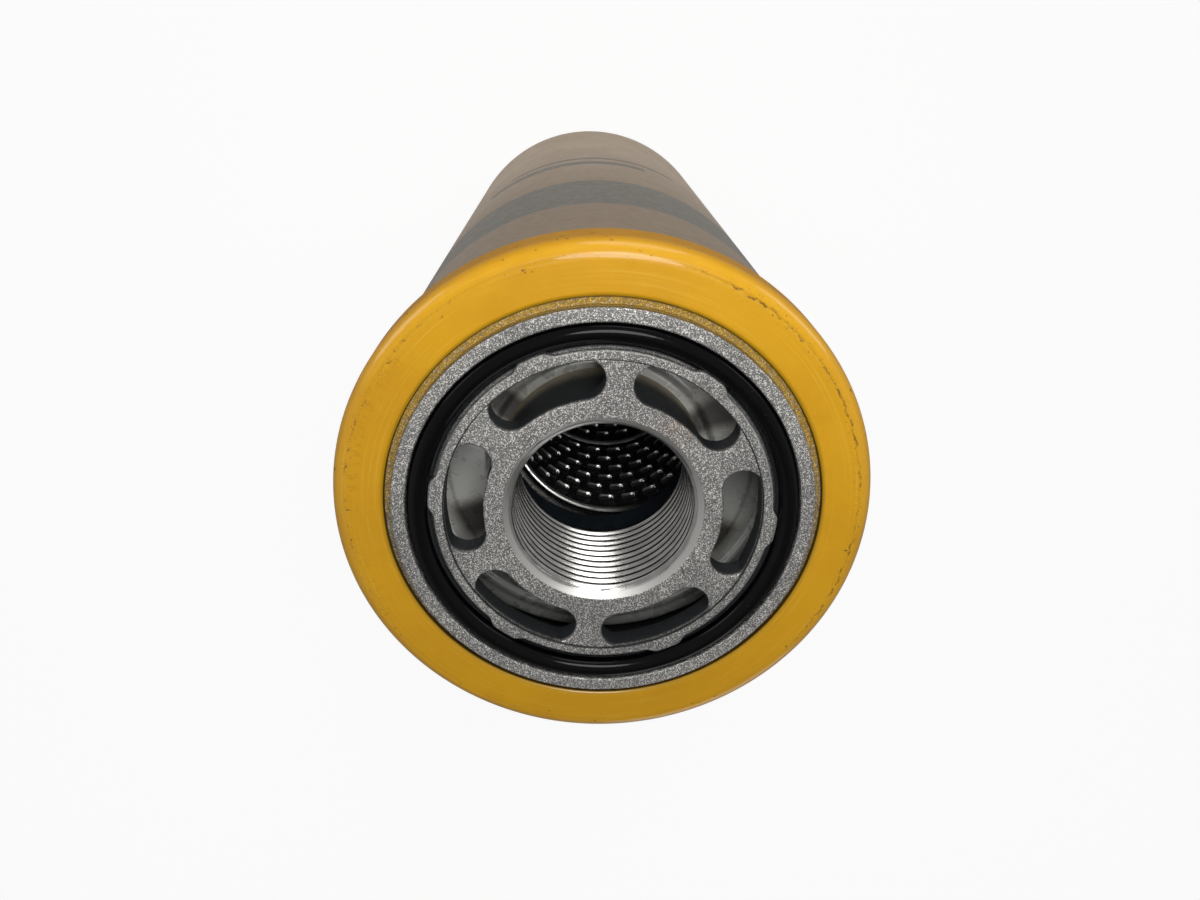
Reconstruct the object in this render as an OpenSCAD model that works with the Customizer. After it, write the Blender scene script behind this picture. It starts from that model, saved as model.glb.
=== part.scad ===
// Spin-on hydraulic filter, standing on its closed end with the threaded port upwards.
// Origin: centre of the standing ring. The filter's axis is +Z. Lengths are in millimetres.

/* [Overall] */
// Length from the standing ring to the top of the cast sealing ring
overall_l = 240.5; // [180:0.5:320]

/* [Can] */
// Outside diameter of the drawn can
can_d = 93.2; // [91:0.1:110]
// Thickness of the can's steel
can_wall = 1.2; // [0.8:0.1:1.5]
// How far the rolled rim stands out from the can's side
rim_bulge = 1.9; // [1.2:0.1:3]
// Outer bend radius of the rolled rim
rim_bend = 3.4; // [2:0.1:4.5]
// Bend radius of the shoulder under the rim
shoulder_bend = 3; // [2:0.1:6]
// How far the folded lip's face lies below the top of the sealing ring
lip_drop = 1.2; // [0.4:0.1:2]
// Rounding of the folded lip's inner edge
lip_edge = 1; // [0.3:0.1:1.2]
// Outer radius of the corner round the closed end
base_corner = 12; // [6:0.5:14]
// Clearance between the spring and the dish pressed into the closed end
dish_play = 0.6; // [0.2:0.1:3]
// Depth of that dish
dish_depth = 2.4; // [1:0.1:3.5]
// Bend radius of the steps pressed into the can
can_step_bend = 2.5; // [2:0.1:3]

/* [Base plate] */
// Major diameter of the port's thread, 1 3/8 inch
port_d = 34.925; // [30:0.005:38]
// Leg of the chamfer at the port's mouth
port_chamfer = 0.25; // [0.1:0.05:1]
// Wall of the hub between the port and the flow slots
hub_wall = 4; // [3.4:0.1:4.6]
// How far the hub's face lies below the top of the sealing ring
hub_drop = 1; // [0.7:0.1:2]
// How far the band round the hub stands above the hub's face
band_rise = 0.35; // [0.1:0.05:0.6]
// Width of that band
band_w = 1.75; // [1.2:0.05:3]
// Width of the sealing ring outside the O-ring groove
ring_w = 2.6; // [1.8:0.1:4]
// Width of the bare ledge between the sealing ring and the folded lip
ledge_w = 1.3; // [0.8:0.1:2]
// Small rounding of the casting's upper edges
cast_edge = 0.4; // [0.1:0.05:0.6]
// Width of the foot inside the O-ring groove
foot_w = 0.5; // [0.2:0.1:0.8]
// Height of that foot above the groove's floor
foot_h = 1.2; // [0.4:0.1:1.6]
// Thickness of the hub at the flow slots
web_t = 4.9; // [4:0.1:8]
// Thickness of the flange that the can holds
flange_t = 8; // [7:0.1:11]
// Chamfer round the flange's lower edge
flange_chamfer = 0.8; // [0.3:0.1:1.5]
// Radial clearance between the flange and the can
flange_fit = 0.1; // [0.05:0.05:0.3]
// Length of the threaded spigot, from the hub's face to its end
spigot_l = 24.9; // [24:0.1:28]
// How far the spigot's shoulder lies below the hub's face
shoulder_drop = 20.9; // [18:0.1:21.5]
// How much slimmer the spigot's nose is than its shank, in radius
nose_step = 1.1; // [0.9:0.05:1.4]
// Chamfer at the end of the spigot's nose
nose_chamfer = 0.5; // [0.2:0.1:0.8]

/* [Flow slots] */
// Number of kidney slots
slot_n = 6; // [4:1:6]
// Direction of the first slot's middle
slot_angle = -6.5; // [-30:0.5:30]
// Angle that one slot takes up, end to end
slot_span = 48.8; // [36:0.2:50]
// Radial width of the slots
slot_w = 7; // [5.6:0.1:8]
// How much larger the slots' round ends are than half their width, cut off by the outer wall
slot_end_extra = 0.2; // [0.05:0.05:0.4]
// Width of the hub's face left outside the slots
slot_land = 0.1; // [0.05:0.05:0.5]

/* [O-ring] */
// Thickness of the mounting O-ring
oring_t = 3.6; // [3:0.1:4.5]
// How far the O-ring stands above the sealing ring
oring_proud = 0.5; // [0.2:0.1:0.9]
// Play of the O-ring in its groove, on each side
oring_play = 0.08; // [0.04:0.01:0.2]
// Number of tabs that keep the O-ring in
tab_n = 6; // [3:1:8]
// Direction of the first tab
tab_angle = -7; // [-30:1:30]
// Angle that a tab takes up at its foot
tab_span = 16; // [10:1:24]
// How far a tab reaches over the groove
tab_reach = 1; // [0.5:0.1:1.5]
// Thickness of the ring between the flange and the can
seal_t = 2.6; // [2:0.1:3.2]
// Clearance round that ring
seal_play = 0.04; // [0.02:0.01:0.1]

/* [Spring] */
// Height between the can's floor and the bottom end cap
spring_h = 15; // [14:0.5:20]
// Clearance of the spring round the bottom cap's sunk middle
spring_play = 0.8; // [0.3:0.1:2]
// Thickness of the spring's wire
spring_wire = 3; // [2:0.1:3.2]
// Turns that lie flat at each end
spring_dead = 0.55; // [0.5:0.05:0.6]
// Turns that do the springing
spring_live = 1.5; // [1.2:0.1:1.6]

/* [Element] */
// Outer radius of the end caps
cap_r = 39.3; // [39:0.1:41]
// Thickness of the end caps' steel
cap_wall = 0.8; // [0.5:0.1:1]
// Bend radius of the steps pressed into the end caps
cap_bend = 1.2; // [1.1:0.1:1.6]
// Height of the end caps' skirts
skirt_h = 6.5; // [5:0.5:10]
// Width of the top cap's raised collar
collar_w = 1.7; // [1.4:0.1:2.2]
// Height of that collar
collar_h = 0.9; // [0.4:0.1:1.5]
// How far the step in the top cap's flat lies inside its ridge
terrace_in = 5.4; // [4.6:0.1:8]
// Height of that step
terrace_h = 0.7; // [0.3:0.1:1]
// How far the ridge in the top cap lies inside its edge
ridge_in = 4.3; // [3.8:0.1:5]
// Height of that ridge
ridge_h = 0.6; // [0.3:0.1:0.8]
// How far the bottom cap's sunk middle reaches beyond the centre tube
sunk_play = 1.3; // [1:0.1:2]
// Depth of that middle
sunk_h = 2; // [1:0.1:2.2]
// Thickness of the adhesive in the caps
potting_t = 4; // [2:0.5:8]
// Clearance between the parts of the element
element_play = 0.1; // [0.05:0.05:0.2]
// Clearance of the grommet on the spigot's nose
grommet_fit = 0.05; // [0.02:0.01:0.1]
// Clearance of the top cap's hole round the spigot's nose
cap_hole_play = 0.35; // [0.3:0.05:0.5]
// Wall of the grommet
grommet_wall = 1.85; // [1.5:0.05:2]
// How far the grommet hangs below the top cap's collar
grommet_l = 15.3; // [8:0.1:24]
// Thickness of the centre tube's steel
tube_wall = 0.8; // [0.5:0.1:1]
// Width of a hole in the centre tube, round the tube
hole_w = 3.4; // [2:0.1:4]
// Height of a hole in the centre tube
hole_h = 1.6; // [1:0.1:2.5]
// Holes round the tube in one row, an even number
hole_n = 24; // [12:2:26]
// Distance between rows of holes along the tube
hole_pitch = 10.4; // [5.2:0.1:20]
// Bare length at each end of the tube
hole_margin = 9; // [8:0.5:20]

/* [Pleated pack] */
// Number of pleats
pleat_n = 48; // [36:1:50]
// Clearance between the valleys and the centre tube
valley_play = 0.64; // [0.3:0.02:1.2]
// Clearance between the tips and the caps' skirts
tip_play = 0.7; // [0.3:0.1:2]
// Gap between neighbouring pleats at the valleys
valley_gap = 0.27; // [0.2:0.01:0.32]
// Gap between neighbouring pleats at the tips
tip_gap = 1.7; // [1.5:0.05:2]
// Thickness of the media
media_t = 0.7; // [0.5:0.05:0.8]
// Thickness of each wire mesh
mesh_t = 0.25; // [0.1:0.05:0.25]
// Thickness of the clip that joins the pack's ends
clip_t = 0.8; // [0.5:0.1:0.8]
// Depth of that clip
clip_depth = 6; // [3:0.5:7]
// Thickness of a band round the pleats
band_t = 0.6; // [0.3:0.1:0.7]
// Height of a band round the pleats
band_h = 5; // [3:0.5:10]

/* [Hidden] */
band_n = 5;

// Smoothness of round stretches
round_n = 160;
bend_n = 4;
corner_n = 8;
edge_n = 3;

// Radii of the casting, from the port outwards
port_r = port_d / 2;
slot_in_r = port_r + hub_wall;
slot_out_r = slot_in_r + slot_w;
step_r = slot_out_r + slot_land;
band_r = step_r + band_w;
tab_r = band_r + tab_reach;
groove_r = tab_r + oring_t + 2 * oring_play;
ring_r = groove_r + ring_w;
lip_r = ring_r + ledge_w;
spigot_set = 1.1;
spigot_r = slot_in_r - spigot_set;
nose_r = spigot_r - nose_step;
pocket_set = 0.6;
pocket_r = step_r + pocket_set;

// Radii of the can
can_r = can_d / 2;
rim_r = can_r + rim_bulge;
rim_in_r = rim_r - can_wall;
flange_r = rim_in_r - flange_fit;

// Heights of the casting and the can's rim
hub_z = overall_l - hub_drop;
band_z = hub_z + band_rise;
groove_z = overall_l + oring_proud - oring_t;
foot_z = groove_z + foot_h;
lip_z = overall_l - lip_drop;
ledge_z = lip_z - can_wall;
web_z = hub_z - web_t;
flange_z = ledge_z - flange_t;
spigot_z = hub_z - spigot_l;
shoulder_z = hub_z - shoulder_drop;
flange_round = rim_bend - can_wall;
seal_z = (ledge_z - flange_round + flange_z + flange_chamfer) / 2;
seal_groove_r = rim_in_r - seal_t;
seal_groove_h = seal_t + 2 * flange_fit;
web_fillet = 1.2;
pocket_slope = 1.6;

// Heights of the element
floor_z = can_wall;
cap_low_z = floor_z + spring_h;
cap_floor_z = cap_low_z + cap_wall;
collar_z = shoulder_z;
collar_under_z = collar_z - cap_wall;
flat_z = collar_z - collar_h;
rim_flat_z = flat_z - terrace_h;
top_pack_z = rim_flat_z - cap_wall - potting_t;
low_pack_z = cap_floor_z + potting_t;
pack_l = top_pack_z - low_pack_z;

// Radii of the element
cap_hole_r = nose_r + cap_hole_play;
collar_r = cap_hole_r + collar_w;
ridge_r = cap_r - ridge_in;
terrace_r = ridge_r - terrace_in;
cap_corner = 2;
skirt_in_r = cap_r - cap_wall;
grommet_in_r = nose_r + grommet_fit;
grommet_r = grommet_in_r + grommet_wall;
tube_in_r = grommet_r + element_play;
tube_r = tube_in_r + tube_wall;
tube_low_z = cap_floor_z - sunk_h;
tube_top_z = flat_z - cap_wall;
sunk_r = tube_r + sunk_play;
spring_r = sunk_r + step_run(sunk_h, cap_bend) + spring_play + spring_wire / 2;

// Pleated pack: its middle surface, and half the width of a valley and of a tip there
pack_half = media_t / 2 + mesh_t;
pack_in_r = tube_r + valley_play;
pack_out_r = skirt_in_r - tip_play;
valley_r = pack_in_r + pack_half;
tip_r = pack_out_r - pack_half;
valley_half = (2 * PI * pack_in_r / pleat_n - valley_gap) / 2 - pack_half;
tip_half = (2 * PI * pack_out_r / pleat_n - tip_gap) / 2 - pack_half;
clip_set = 0.4;
clip_r = pack_out_r - clip_set;
band_in_r = pack_out_r + element_play;

// Path helpers: a path is a list of [radius, height] points.

function arc(r0, z0, rad, from, to, n) =
    [for (i = [0 : n]) let (a = from + (to - from) * i / n) [r0 + rad * cos(a), z0 + rad * sin(a)]];

// Half the turn of an S-bend that shifts a sheet by h with bends of radius rad
function step_turn(h, rad) = acos(1 - abs(h) / (2 * rad));

// Length that such an S-bend takes up
function step_run(h, rad) = 2 * rad * sin(step_turn(h, rad));

// S-bend that runs outwards from [r0, z0] and rises by h
function s_step(r0, z0, h, rad) =
    let (up = sign(h), turn = step_turn(h, rad), run = step_run(h, rad))
    concat(
        [for (i = [0 : bend_n]) let (a = turn * i / bend_n)
            [r0 + rad * sin(a), z0 + up * rad * (1 - cos(a))]],
        [for (i = [bend_n - 1 : -1 : 0]) let (a = turn * i / bend_n)
            [r0 + run - rad * sin(a), z0 + h - up * rad * (1 - cos(a))]]
    );

// S-bend that runs upwards from [r0, z0] and moves outwards by h
function s_rise(r0, z0, h, rad) = [for (p = s_step(z0, r0, h, rad)) [p[1], p[0]]];

function left_of(p, q) = let (d = (q - p) / norm(q - p)) [-d[1], d[0]];

function mitre(path, i) =
    i == 0 ? left_of(path[0], path[1])
    : i == len(path) - 1 ? left_of(path[i - 1], path[i])
    : let (a = left_of(path[i - 1], path[i]), b = left_of(path[i], path[i + 1])) (a + b) / (1 + a * b);

// The path moved to its left by t
function beside(path, t) = [for (i = [0 : len(path) - 1]) path[i] + t * mitre(path, i)];

function backwards(path) = [for (i = [len(path) - 1 : -1 : 0]) path[i]];

// Outline of a sheet of thickness t that lies to the left of the path
function sheet(path, t) = concat(path, backwards(beside(path, t)));

module turned(outline) {
    rotate_extrude($fn = round_n) polygon(outline);
}

module ring(r_in, r_out, z, h) {
    translate([0, 0, z]) difference() {
        cylinder(r = r_out, h = h, $fn = round_n);
        translate([0, 0, -1]) cylinder(r = r_in, h = h + 2, $fn = round_n);
    }
}

// Can

rim_shoulder_z = flange_z - flange_fit - step_run(rim_bulge, shoulder_bend);
dish_r = spring_r - spring_wire / 2 - dish_play - step_run(dish_depth, can_step_bend);
can_core = concat(
    [[0, dish_depth]],
    s_step(dish_r, dish_depth, -dish_depth, can_step_bend),
    arc(can_r - base_corner, base_corner, base_corner, -90, 0, corner_n),
    s_rise(can_r, rim_shoulder_z, rim_bulge, shoulder_bend),
    arc(rim_r - rim_bend, lip_z - rim_bend, rim_bend, 0, 90, corner_n),
    [[lip_r, lip_z]]
);
can_skin = [for (i = [0 : len(can_core) - 2]) can_core[i]];
can_edge = arc(lip_r + lip_edge, lip_z - lip_edge, lip_edge, 90, 180, edge_n);

module can() {
    color([0.70, 0.67, 0.62])
        turned(concat(can_skin, can_edge, backwards(beside(can_core, can_wall))));
}

// Base plate

spigot_outline = [
    [port_r, spigot_z],
    [port_r, hub_z - port_chamfer],
    [port_r + port_chamfer, hub_z]
];
band_outline = concat(
    [[step_r, hub_z], [step_r, band_z]],
    arc(band_r - cast_edge, band_z - cast_edge, cast_edge, 90, 0, edge_n)
);
groove_outline = [
    [band_r, foot_z],
    [band_r + foot_w, foot_z],
    [band_r + foot_w, groove_z],
    [groove_r, groove_z]
];
ring_outline = concat(
    arc(groove_r + cast_edge, overall_l - cast_edge, cast_edge, 180, 90, edge_n),
    arc(ring_r - cast_edge, overall_l - cast_edge, cast_edge, 90, 0, edge_n)
);
// The flange's upper corner follows the inside of the can's rim
flange_outline = concat(
    [[ring_r, ledge_z]],
    arc(flange_r - flange_round, ledge_z - flange_round, flange_round, 90, 0, corner_n),
    [
        [flange_r, seal_z + seal_groove_h / 2],
        [seal_groove_r, seal_z + seal_groove_h / 2],
        [seal_groove_r, seal_z - seal_groove_h / 2],
        [flange_r, seal_z - seal_groove_h / 2],
        [flange_r, flange_z + flange_chamfer],
        [flange_r - flange_chamfer, flange_z]
    ]
);
under_outline = concat(
    [[ring_r, flange_z], [pocket_r + pocket_slope, web_z - pocket_slope], [pocket_r, web_z]],
    arc(spigot_r + web_fillet, web_z - web_fillet, web_fillet, 90, 180, edge_n),
    [
        [spigot_r, shoulder_z],
        [nose_r, shoulder_z],
        [nose_r, spigot_z + nose_chamfer],
        [nose_r - nose_chamfer, spigot_z]
    ]
);

module flow_slot() {
    mid_r = (slot_in_r + slot_out_r) / 2 + slot_end_extra;
    end_r = slot_w / 2 + slot_end_extra;
    reach = slot_span / 2 - asin(end_r / mid_r);
    intersection() {
        union() {
            rotate(-reach)
                rotate_extrude(angle = 2 * reach, $fn = round_n)
                translate([slot_in_r, web_z - 1])
                square([slot_w + 1, web_t + 2]);
            for (side = [-1, 1])
                rotate(side * reach)
                translate([mid_r, 0, web_z - 1])
                cylinder(r = end_r, h = web_t + 2, $fn = 48);
        }
        translate([0, 0, web_z - 2]) cylinder(r = slot_out_r, h = web_t + 4, $fn = round_n);
    }
}

// Outline of one tab, a smooth bump on the band with a flat top
tab_flat = 0.45;
tab_steps = 16;
function tab_bump(t) = abs(t) < tab_flat ? 1 : (1 + cos(180 * (abs(t) - tab_flat) / (1 - tab_flat))) / 2;
tab_outline = concat(
    [for (i = [0 : tab_steps]) let (t = 2 * i / tab_steps - 1, a = t * tab_span / 2)
        (band_r - 0.05 + (tab_reach + 0.05) * tab_bump(t)) * [cos(a), sin(a)]],
    [(step_r + band_w / 2) * [cos(tab_span / 2), sin(tab_span / 2)]],
    [(step_r + band_w / 2) * [cos(tab_span / 2), -sin(tab_span / 2)]]
);

module retaining_tab() {
    translate([0, 0, groove_z - 0.5])
        linear_extrude(band_z - cast_edge - groove_z + 0.5)
        polygon(tab_outline);
}

module base_plate() {
    color([0.60, 0.60, 0.59])
        difference() {
            union() {
                turned(concat(
                    spigot_outline, band_outline, groove_outline, ring_outline, flange_outline, under_outline
                ));
                for (i = [0 : tab_n - 1]) rotate(tab_angle + i * 360 / tab_n) retaining_tab();
            }
            for (i = [0 : slot_n - 1]) rotate(slot_angle + i * 360 / slot_n) flow_slot();
        }
}

// Seals

module mounting_o_ring() {
    color([0.05, 0.05, 0.06])
        rotate_extrude($fn = round_n)
        translate([tab_r + oring_play + oring_t / 2, groove_z + oring_t / 2])
        circle(r = oring_t / 2, $fn = 48);
}

module can_seal() {
    color([0.08, 0.08, 0.09])
        rotate_extrude($fn = round_n)
        translate([seal_groove_r + seal_t / 2, seal_z])
        circle(r = seal_t / 2 - seal_play, $fn = 32);
}

// Spring: two flat end turns and a rising stretch between them

spring_turns = 2 * spring_dead + spring_live;
spring_rise = spring_h - spring_wire;
spring_rings = 76;
spring_sides = 8;

function spring_height(turn) =
    floor_z + spring_wire / 2 + spring_rise * min(1, max(0, (turn - spring_dead) / spring_live));

spring_points = [
    for (i = [0 : spring_rings]) let (turn = spring_turns * i / spring_rings)
        for (k = [0 : spring_sides - 1]) let (b = 360 * k / spring_sides, r = spring_r + spring_wire / 2 * cos(b))
            [r * cos(360 * turn), r * sin(360 * turn), spring_height(turn) + spring_wire / 2 * sin(b)]
];
spring_faces = concat(
    [[for (k = [0 : spring_sides - 1]) k]],
    [for (i = [0 : spring_rings - 1]) for (k = [0 : spring_sides - 1])
        let (a = i * spring_sides, b = a + spring_sides, n = (k + 1) % spring_sides)
            [a + k, b + k, b + n, a + n]],
    [[for (k = [spring_sides - 1 : -1 : 0]) spring_rings * spring_sides + k]]
);

module element_spring() {
    color([0.45, 0.46, 0.48]) polyhedron(spring_points, spring_faces, convexity = 6);
}

// Element: caps, tube and grommet

top_cap_path = concat(
    [[cap_hole_r, collar_z]],
    s_step(collar_r, collar_z, -collar_h, cap_bend),
    s_step(terrace_r, flat_z, -terrace_h, cap_bend),
    s_step(ridge_r - step_run(ridge_h, cap_bend), rim_flat_z, ridge_h, cap_bend),
    [for (p = s_step(ridge_r, rim_flat_z + ridge_h, -ridge_h, cap_bend)) if (p[0] > ridge_r) p],
    arc(cap_r - cap_corner, rim_flat_z - cap_corner, cap_corner, 90, 0, bend_n),
    [[cap_r, rim_flat_z - skirt_h]]
);

module top_end_cap() {
    color([0.66, 0.66, 0.64]) turned(sheet(top_cap_path, -cap_wall));
}

bottom_cap_path = concat(
    [[0, cap_low_z - sunk_h]],
    s_step(sunk_r, cap_low_z - sunk_h, sunk_h, cap_bend),
    arc(cap_r - cap_corner, cap_low_z + cap_corner, cap_corner, -90, 0, bend_n),
    [[cap_r, cap_low_z + skirt_h]]
);

module bottom_end_cap() {
    color([0.66, 0.66, 0.64]) turned(sheet(bottom_cap_path, cap_wall));
}

module spigot_grommet() {
    color([0.06, 0.07, 0.09]) ring(grommet_in_r, grommet_r, collar_under_z - grommet_l, grommet_l);
}

module centre_tube() {
    tube_l = tube_top_z - tube_low_z;
    rows = floor((tube_l - 2 * hole_margin) / hole_pitch);
    first = tube_low_z + (tube_l - rows * hole_pitch) / 2;
    color([0.16, 0.16, 0.17])
        difference() {
            ring(tube_in_r, tube_r, tube_low_z, tube_l);
            for (row = [0 : rows])
                for (i = [0 : hole_n / 2 - 1])
                    translate([0, 0, first + row * hole_pitch])
                    rotate(i * 360 / hole_n)
                    cube([2 * tube_r + 2, hole_w, hole_h], center = true);
        }
}

// Pleated pack: each layer lies between two outlines of the same fold, moved out by d

function fold_corner(r, half, angle) = [r * cos(angle) - half * sin(angle), r * sin(angle) + half * cos(angle)];

function fold_outline(d) = [
    for (i = [0 : pleat_n - 1]) let (tip = 360 * i / pleat_n, valley = 360 * (i + 0.5) / pleat_n)
        each [
            fold_corner(tip_r + d, -tip_half - d, tip),
            fold_corner(tip_r + d, tip_half + d, tip),
            fold_corner(valley_r + d, d - valley_half, valley),
            fold_corner(valley_r + d, valley_half - d, valley)
        ]
];

module pleated_layer(d_in, d_out) {
    translate([0, 0, low_pack_z])
        linear_extrude(pack_l)
        difference() {
            polygon(fold_outline(d_out));
            polygon(fold_outline(d_in));
        }
}

module inner_wire_mesh() {
    color([0.55, 0.56, 0.57]) pleated_layer(-pack_half, -media_t / 2);
}

module filter_media() {
    color([0.90, 0.88, 0.80]) pleated_layer(-media_t / 2, media_t / 2);
}

module outer_wire_mesh() {
    color([0.55, 0.56, 0.57]) pleated_layer(media_t / 2, pack_half);
}

module pleat_seam_clip() {
    color([0.62, 0.63, 0.64])
        rotate(180 / pleat_n)
        translate([clip_r - clip_depth, -clip_t / 2, low_pack_z])
        cube([clip_depth, clip_t, pack_l]);
}

module binding_band(i) {
    z = low_pack_z + pack_l * i / (band_n + 1) - band_h / 2;
    color([0.80, 0.78, 0.70]) ring(band_in_r, band_in_r + band_t, z, band_h);
}

// The adhesive fills the cap round the tube; its outer corner follows the cap's bend
potting_in_r = tube_r + element_play;
potting_r = skirt_in_r - element_play;
potting_outline = concat(
    [[potting_in_r, potting_t], [potting_in_r, 0]],
    arc(potting_r - cap_corner, cap_corner, cap_corner, -90, 0, bend_n),
    [[potting_r, potting_t]]
);

module top_potting() {
    color([0.30, 0.28, 0.26])
        translate([0, 0, top_pack_z + potting_t])
        mirror([0, 0, 1])
        turned(potting_outline);
}

module bottom_potting() {
    color([0.30, 0.28, 0.26])
        translate([0, 0, cap_floor_z])
        turned(potting_outline);
}

can();
base_plate();
mounting_o_ring();
can_seal();
element_spring();
top_end_cap();
spigot_grommet();
centre_tube();
inner_wire_mesh();
filter_media();
outer_wire_mesh();
pleat_seam_clip();
for (i = [1 : band_n]) binding_band(i);
top_potting();
bottom_potting();
bottom_end_cap();
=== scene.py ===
import math

import bpy
import numpy as np
from mathutils import Matrix, Vector
from mathutils.geometry import delaunay_2d_cdt


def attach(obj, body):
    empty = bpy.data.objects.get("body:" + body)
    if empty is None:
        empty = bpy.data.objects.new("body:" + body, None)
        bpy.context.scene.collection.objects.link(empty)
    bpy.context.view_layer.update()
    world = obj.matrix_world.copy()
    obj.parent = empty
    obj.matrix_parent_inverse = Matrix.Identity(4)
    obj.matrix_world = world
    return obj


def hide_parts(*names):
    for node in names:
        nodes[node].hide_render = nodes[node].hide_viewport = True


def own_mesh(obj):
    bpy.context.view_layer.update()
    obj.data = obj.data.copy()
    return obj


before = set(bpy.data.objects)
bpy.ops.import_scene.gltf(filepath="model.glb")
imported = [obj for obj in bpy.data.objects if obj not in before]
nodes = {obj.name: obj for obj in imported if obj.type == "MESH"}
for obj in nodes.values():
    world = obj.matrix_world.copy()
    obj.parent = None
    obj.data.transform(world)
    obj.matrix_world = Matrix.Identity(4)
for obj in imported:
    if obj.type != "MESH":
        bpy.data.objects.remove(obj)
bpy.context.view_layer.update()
scene = bpy.context.scene
scene.view_settings.view_transform = "Standard"
MM = 0.001
PER_METRE = 1000.0

# Sizes shared with the solids, in millimetres
CORD = 3.6  # the O-ring's cord
TAB_H = 1.0  # the tabs that hold the O-ring
TOP = 240.5
HUB = TOP - 1.0
BAND = HUB + 0.35
LIP = TOP - 1.2
LEDGE = LIP - 1.2
GROOVE = TOP + 0.5 - CORD
FOOT = GROOVE + 1.2
WEB = HUB - 4.9
FLANGE = LEDGE - 8.0
SHOULDER = HUB - 20.9
NOSE_END = HUB - 24.9
PORT_R = 17.4625
SLOT_IN = PORT_R + 4.0
SLOT_OUT = SLOT_IN + 7.0
STEP_R = SLOT_OUT + 0.1
BAND_R = STEP_R + 1.75
GROOVE_R = BAND_R + TAB_H + CORD + 0.16
RING_R = GROOVE_R + 2.6
LIP_R = RING_R + 1.3
CAN_R = 46.6
RIM_R = CAN_R + 1.87
CAN_WALL = 1.2
SPIGOT_R = SLOT_IN - 1.1
NOSE_R = SPIGOT_R - 1.1
PITCH = 25.4 / 12
CHAMFER_R = 18.15
MINOR = 16.4
BORE_R = MINOR + 0.7  # the port's inner end
MOUTH_R, MOUTH_Z = CHAMFER_R - 0.14, HUB - 0.06  # where the thread's piece starts
HUB_OUT = STEP_R - 0.14  # the hub face's outer edge
EDGE = 0.35  # rounding of the slots' upper edges
SHOULDER_STEP, SHOULDER_BEND = 1.9, 3.0  # the can's step out to the rim
CORNER = 12  # rounding of the closed end
ROLL = 3.4  # rounding of the rim
DISH, DISH_BEND, DISH_PLAY = 2.4, 2.5, 0.6  # the dish in the closed end, which the spring stands round
SEAT_R, SEAT_STEP, SEAT_BEND, SPRING_PLAY = 23.4625, 2.0, 1.2, 0.8  # the bottom cap's seat in the spring
WIRE, COIL_H, FLOOR_Z, TRAVEL = 3.0, 15.0, 1.2, 3.0
DEAD, LIVE = 0.55, 1.5  # turns of each flat end and of the rising part
TUBE_R, LEAD, TUBE_WALL = 21.2625, 39.5, 0.8
RING_ROUND, FLANGE_ROUND, BAND_ROUND = 0.4, 2.2, 0.5
STEP_FILLET, STEP_ROUND = 0.10, 0.14


# ---------------------------------------------------------------- mesh helpers
def arc(r0, z0, rad, a0, a1, n):
    """n + 1 points of an arc about (r0, z0), from a0 to a1 degrees."""
    return [
        (r0 + rad * math.cos(math.radians(a0 + (a1 - a0) * i / n)),
         z0 + rad * math.sin(math.radians(a0 + (a1 - a0) * i / n)))
        for i in range(n + 1)
    ]


def step_run(h, rad):
    """How far outwards a step of height h goes in two bends of radius rad."""
    return 2 * rad * math.sin(math.acos(1 - abs(h) / (2 * rad)))


def s_step(r0, z0, h, rad, n=6):
    """Points of a step of height h in two bends of radius rad, going outwards."""
    bend = math.acos(1 - abs(h) / (2 * rad))
    up = 1 if h > 0 else -1
    half = [(rad * math.sin(bend * i / n), up * rad * (1 - math.cos(bend * i / n))) for i in range(n + 1)]
    first = [(r0 + r, z0 + z) for r, z in half]
    last = [(r0 + step_run(h, rad) - r, z0 + h - z) for r, z in half[-2::-1]]
    return first + last


def s_rise(r0, z0, h, rad):
    """The same step in a straight wall, going up."""
    return [(b, a) for a, b in s_step(z0, r0, h, rad)]


def circle(rad, n):
    return [(rad * math.cos(2 * math.pi * i / n), rad * math.sin(2 * math.pi * i / n)) for i in range(n)]


def supported(path, d):
    """The path with extra points near the ends of its long straight stretches, to keep shading crisp."""
    out = [path[0]]
    for a, b in zip(path, path[1:]):
        length = math.hypot(b[0] - a[0], b[1] - a[1])
        if length > 4 * d:
            for t in (d / length, 1 - d / length):
                out.append((a[0] + (b[0] - a[0]) * t, a[1] + (b[1] - a[1]) * t))
        if length > 1e-6:
            out.append(b)
    return out


def beside(path, t):
    """The path moved t to its left, with mitred corners."""
    def left(a, b):
        dx, dy = b[0] - a[0], b[1] - a[1]
        n = math.hypot(dx, dy)
        return -dy / n, dx / n
    out = []
    for i, p in enumerate(path):
        if i == 0:
            m = left(path[0], path[1])
        elif i == len(path) - 1:
            m = left(path[-2], path[-1])
        else:
            a, b = left(path[i - 1], p), left(p, path[i + 1])
            k = 1 + a[0] * b[0] + a[1] * b[1]
            m = (a[0] + b[0]) / k, (a[1] + b[1]) / k
        out.append((p[0] + t * m[0], p[1] + t * m[1]))
    return out


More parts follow.
